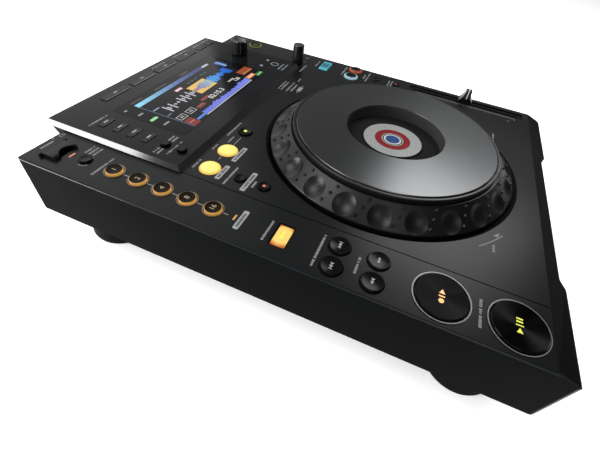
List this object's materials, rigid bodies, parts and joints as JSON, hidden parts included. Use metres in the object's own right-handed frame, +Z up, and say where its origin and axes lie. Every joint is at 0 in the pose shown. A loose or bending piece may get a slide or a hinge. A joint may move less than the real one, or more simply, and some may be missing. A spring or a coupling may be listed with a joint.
{
  "type": "tabletop dj cd player",
  "caption": "Tabletop DJ disc player: large jog wheel, raised display panel, keys and tempo slider on a flat deck with a front disc slot.",
  "frame": {"origin": "centre of the bounding box, on the table", "axes": "+Z up, +X to the user's right, the user stands at -Y, sockets at +Y"},
  "size_m": [0.305, 0.3874, 0.106],
  "materials": {
    "deck": "satin",
    "steel": "matte",
    "front": "satin",
    "panel": "glossy",
    "screen": "glossy",
    "ring": "polished",
    "foot": "matte",
    "screw": "satin",
    "post": "satin",
    "frame_sheet": "satin",
    "board": "matte",
    "socket": "satin",
    "wheel": "matte",
    "plate": "satin",
    "turntable": "matte",
    "roller": "matte",
    "knob": "satin",
    "plunger": "satin",
    "gloss_key": "glossy",
    "panel_key": "satin",
    "loop_key": "lit",
    "mode_key": "lit",
    "direction": "satin"
  },
  "bodies": {
    "chassis": {"upper_case": "deck", "bottom_case": "steel", "front_fascia": "front", "rear_panel": "steel", "display_housing": "panel", "display_screen": "screen", "trim_rings": "ring", "feet": "foot", "case_screws": "screw", "jog_post": "post", "disc_drive": "frame_sheet", "circuit_boards": "board", "slider_unit": "frame_sheet", "sockets": "socket"},
    "jog": {"jog_wheel": "wheel", "jog_plate": "plate"},
    "disc_spindle": {"disc_spindle": "turntable"},
    "feed_roller": {"feed_roller": "roller"},
    "tempo_slider": {"tempo_slider": "knob"},
    "selector_plunger": {"selector_plunger": "plunger"},
    "selector_knob": {"selector_knob": "knob"},
    "speed_knob": {"speed_knob": "knob"},
    "usb_lid": {"usb_lid": "deck"},
    "power_switch": {"power_switch": "knob"},
    "play_key": {"play_key": "gloss_key"},
    "cue_key": {"cue_key": "gloss_key"},
    "search_back_key": {"search_back_key": "gloss_key"},
    "search_forward_key": {"search_forward_key": "gloss_key"},
    "track_back_key": {"track_back_key": "gloss_key"},
    "track_forward_key": {"track_forward_key": "gloss_key"},
    "direction_key": {"direction_key": "direction"},
    "beat_key_1": {"beat_key_1": "gloss_key"},
    "beat_key_2": {"beat_key_2": "gloss_key"},
    "beat_key_3": {"beat_key_3": "gloss_key"},
    "beat_key_4": {"beat_key_4": "gloss_key"},
    "beat_key_5": {"beat_key_5": "gloss_key"},
    "usb_stop_key": {"usb_stop_key": "gloss_key"},
    "loop_in_key": {"loop_in_key": "loop_key"},
    "loop_out_key": {"loop_out_key": "loop_key"},
    "reloop_key": {"reloop_key": "gloss_key"},
    "four_beat_key": {"four_beat_key": "gloss_key"},
    "slip_key": {"slip_key": "gloss_key"},
    "menu_key_1": {"menu_key_1": "panel_key"},
    "menu_key_2": {"menu_key_2": "panel_key"},
    "menu_key_3": {"menu_key_3": "panel_key"},
    "menu_key_4": {"menu_key_4": "panel_key"},
    "back_key": {"back_key": "panel_key"},
    "tag_key": {"tag_key": "panel_key"},
    "media_key_1": {"media_key_1": "panel_key"},
    "media_key_2": {"media_key_2": "panel_key"},
    "media_key_3": {"media_key_3": "panel_key"},
    "media_key_4": {"media_key_4": "panel_key"},
    "time_key": {"time_key": "gloss_key"},
    "auto_cue_key": {"auto_cue_key": "gloss_key"},
    "eject_key": {"eject_key": "gloss_key"},
    "jog_mode_key": {"jog_mode_key": "mode_key"},
    "sync_key": {"sync_key": "gloss_key"},
    "master_key": {"master_key": "gloss_key"},
    "tempo_range_key": {"tempo_range_key": "gloss_key"},
    "master_tempo_key": {"master_tempo_key": "gloss_key"}
  },
  "joints": [
    {"name": "jog_turn", "type": "hinge", "parent": "chassis", "child": "jog", "pos_m": [0.0025, -0.057, 0.096], "axis": [0, 0, 1], "continuous": true},
    {"name": "spindle_turn", "type": "hinge", "parent": "chassis", "child": "disc_spindle", "pos_m": [-0.005, -0.1143, 0.053], "axis": [0, 0, 1], "continuous": true},
    {"name": "roller_turn", "type": "hinge", "parent": "chassis", "child": "feed_roller", "pos_m": [-0.005, -0.1743, 0.0524], "axis": [1, 0, 0], "continuous": true},
    {"name": "tempo_slide", "type": "slide", "parent": "chassis", "child": "tempo_slider", "axis": [0, 1, 0], "range_m": [-0.05, 0.05]},
    {"name": "selector_press", "type": "slide", "parent": "chassis", "child": "selector_plunger", "axis": [0, 0, -1], "range_m": [0, 0.0005], "stiffness_N_per_m": 700, "springref_m": -0.001},
    {"name": "selector_turn", "type": "hinge", "parent": "selector_plunger", "child": "selector_knob", "pos_m": [0.0915, 0.1377, 0.092], "axis": [0, 0, 1], "continuous": true},
    {"name": "speed_turn", "type": "hinge", "parent": "chassis", "child": "speed_knob", "pos_m": [0.1203, 0.0782, 0.091], "axis": [0, 0, 1], "range_deg": [-140, 140]},
    {"name": "usb_lid_turn", "type": "hinge", "parent": "chassis", "child": "usb_lid", "pos_m": [-0.1331, 0.1637, 0.0876], "axis": [-1, 0, 0], "range_deg": [0, 100]},
    {"name": "power_rock", "type": "hinge", "parent": "chassis", "child": "power_switch", "pos_m": [0.0725, 0.1727, 0.052], "axis": [1, 0, 0], "range_deg": [0, 14]},
    {"name": "play_press", "type": "slide", "parent": "chassis", "child": "play_key", "axis": [0, 0, -1], "range_m": [0, 0.0015], "stiffness_N_per_m": 500, "springref_m": -0.001},
    {"name": "cue_press", "type": "slide", "parent": "chassis", "child": "cue_key", "axis": [0, 0, -1], "range_m": [0, 0.0015], "stiffness_N_per_m": 500, "springref_m": -0.001},
    {"name": "search_back_press", "type": "slide", "parent": "chassis", "child": "search_back_key", "axis": [0, 0, -1], "range_m": [0, 0.001], "stiffness_N_per_m": 500, "springref_m": -0.001},
    {"name": "search_forward_press", "type": "slide", "parent": "chassis", "child": "search_forward_key", "axis": [0, 0, -1], "range_m": [0, 0.001], "stiffness_N_per_m": 500, "springref_m": -0.001},
    {"name": "track_back_press", "type": "slide", "parent": "chassis", "child": "track_back_key", "axis": [0, 0, -1], "range_m": [0, 0.001], "stiffness_N_per_m": 500, "springref_m": -0.001},
    {"name": "track_forward_press", "type": "slide", "parent": "chassis", "child": "track_forward_key", "axis": [0, 0, -1], "range_m": [0, 0.001], "stiffness_N_per_m": 500, "springref_m": -0.001},
    {"name": "direction_press", "type": "slide", "parent": "chassis", "child": "direction_key", "axis": [0, 0, -1], "range_m": [0, 0.001], "stiffness_N_per_m": 500, "springref_m": -0.001},
    {"name": "beat_1_press", "type": "slide", "parent": "chassis", "child": "beat_key_1", "axis": [0, 0, -1], "range_m": [0, 0.001], "stiffness_N_per_m": 500, "springref_m": -0.001},
    {"name": "beat_2_press", "type": "slide", "parent": "chassis", "child": "beat_key_2", "axis": [0, 0, -1], "range_m": [0, 0.001], "stiffness_N_per_m": 500, "springref_m": -0.001},
    {"name": "beat_3_press", "type": "slide", "parent": "chassis", "child": "beat_key_3", "axis": [0, 0, -1], "range_m": [0, 0.001], "stiffness_N_per_m": 500, "springref_m": -0.001},
    {"name": "beat_4_press", "type": "slide", "parent": "chassis", "child": "beat_key_4", "axis": [0, 0, -1], "range_m": [0, 0.001], "stiffness_N_per_m": 500, "springref_m": -0.001},
    {"name": "beat_5_press", "type": "slide", "parent": "chassis", "child": "beat_key_5", "axis": [0, 0, -1], "range_m": [0, 0.001], "stiffness_N_per_m": 500, "springref_m": -0.001},
    {"name": "usb_stop_press", "type": "slide", "parent": "chassis", "child": "usb_stop_key", "axis": [0, 0, -1], "range_m": [0, 0.001], "stiffness_N_per_m": 500, "springref_m": -0.001},
    {"name": "loop_in_press", "type": "slide", "parent": "chassis", "child": "loop_in_key", "axis": [0, 0, -1], "range_m": [0, 0.001], "stiffness_N_per_m": 500, "springref_m": -0.001},
    {"name": "loop_out_press", "type": "slide", "parent": "chassis", "child": "loop_out_key", "axis": [0, 0, -1], "range_m": [0, 0.001], "stiffness_N_per_m": 500, "springref_m": -0.001},
    {"name": "reloop_press", "type": "slide", "parent": "chassis", "child": "reloop_key", "axis": [0, 0, -1], "range_m": [0, 0.001], "stiffness_N_per_m": 500, "springref_m": -0.001},
    {"name": "four_beat_press", "type": "slide", "parent": "chassis", "child": "four_beat_key", "axis": [0, 0, -1], "range_m": [0, 0.001], "stiffness_N_per_m": 500, "springref_m": -0.001},
    {"name": "slip_press", "type": "slide", "parent": "chassis", "child": "slip_key", "axis": [0, 0, -1], "range_m": [0, 0.001], "stiffness_N_per_m": 500, "springref_m": -0.001},
    {"name": "menu_1_press", "type": "slide", "parent": "chassis", "child": "menu_key_1", "axis": [0, 0, -1], "range_m": [0, 0.0005], "stiffness_N_per_m": 700, "springref_m": -0.001},
    {"name": "menu_2_press", "type": "slide", "parent": "chassis", "child": "menu_key_2", "axis": [0, 0, -1], "range_m": [0, 0.0005], "stiffness_N_per_m": 700, "springref_m": -0.001},
    {"name": "menu_3_press", "type": "slide", "parent": "chassis", "child": "menu_key_3", "axis": [0, 0, -1], "range_m": [0, 0.0005], "stiffness_N_per_m": 700, "springref_m": -0.001},
    {"name": "menu_4_press", "type": "slide", "parent": "chassis", "child": "menu_key_4", "axis": [0, 0, -1], "range_m": [0, 0.0005], "stiffness_N_per_m": 700, "springref_m": -0.001},
    {"name": "back_press", "type": "slide", "parent": "chassis", "child": "back_key", "axis": [0, 0, -1], "range_m": [0, 0.0005], "stiffness_N_per_m": 700, "springref_m": -0.001},
    {"name": "tag_press", "type": "slide", "parent": "chassis", "child": "tag_key", "axis": [0, 0, -1], "range_m": [0, 0.0005], "stiffness_N_per_m": 700, "springref_m": -0.001},
    {"name": "media_1_press", "type": "slide", "parent": "chassis", "child": "media_key_1", "axis": [0, 0, -1], "range_m": [0, 0.0005], "stiffness_N_per_m": 700, "springref_m": -0.001},
    {"name": "media_2_press", "type": "slide", "parent": "chassis", "child": "media_key_2", "axis": [0, 0, -1], "range_m": [0, 0.0005], "stiffness_N_per_m": 700, "springref_m": -0.001},
    {"name": "media_3_press", "type": "slide", "parent": "chassis", "child": "media_key_3", "axis": [0, 0, -1], "range_m": [0, 0.0005], "stiffness_N_per_m": 700, "springref_m": -0.001},
    {"name": "media_4_press", "type": "slide", "parent": "chassis", "child": "media_key_4", "axis": [0, 0, -1], "range_m": [0, 0.0005], "stiffness_N_per_m": 700, "springref_m": -0.001},
    {"name": "time_press", "type": "slide", "parent": "chassis", "child": "time_key", "axis": [0, 0, -1], "range_m": [0, 0.0005], "stiffness_N_per_m": 700, "springref_m": -0.001},
    {"name": "auto_cue_press", "type": "slide", "parent": "chassis", "child": "auto_cue_key", "axis": [0, 0, -1], "range_m": [0, 0.0005], "stiffness_N_per_m": 700, "springref_m": -0.001},
    {"name": "eject_press", "type": "slide", "parent": "chassis", "child": "eject_key", "axis": [0, 0, -1], "range_m": [0, 0.001], "stiffness_N_per_m": 500, "springref_m": -0.001},
    {"name": "jog_mode_press", "type": "slide", "parent": "chassis", "child": "jog_mode_key", "axis": [0, 0, -1], "range_m": [0, 0.001], "stiffness_N_per_m": 500, "springref_m": -0.001},
    {"name": "sync_press", "type": "slide", "parent": "chassis", "child": "sync_key", "axis": [0, 0, -1], "range_m": [0, 0.001], "stiffness_N_per_m": 500, "springref_m": -0.001},
    {"name": "master_press", "type": "slide", "parent": "chassis", "child": "master_key", "axis": [0, 0, -1], "range_m": [0, 0.001], "stiffness_N_per_m": 500, "springref_m": -0.001},
    {"name": "tempo_range_press", "type": "slide", "parent": "chassis", "child": "tempo_range_key", "axis": [0, 0, -1], "range_m": [0, 0.001], "stiffness_N_per_m": 500, "springref_m": -0.001},
    {"name": "master_tempo_press", "type": "slide", "parent": "chassis", "child": "master_tempo_key", "axis": [0, 0, -1], "range_m": [0, 0.001], "stiffness_N_per_m": 500, "springref_m": -0.001}
  ]
}
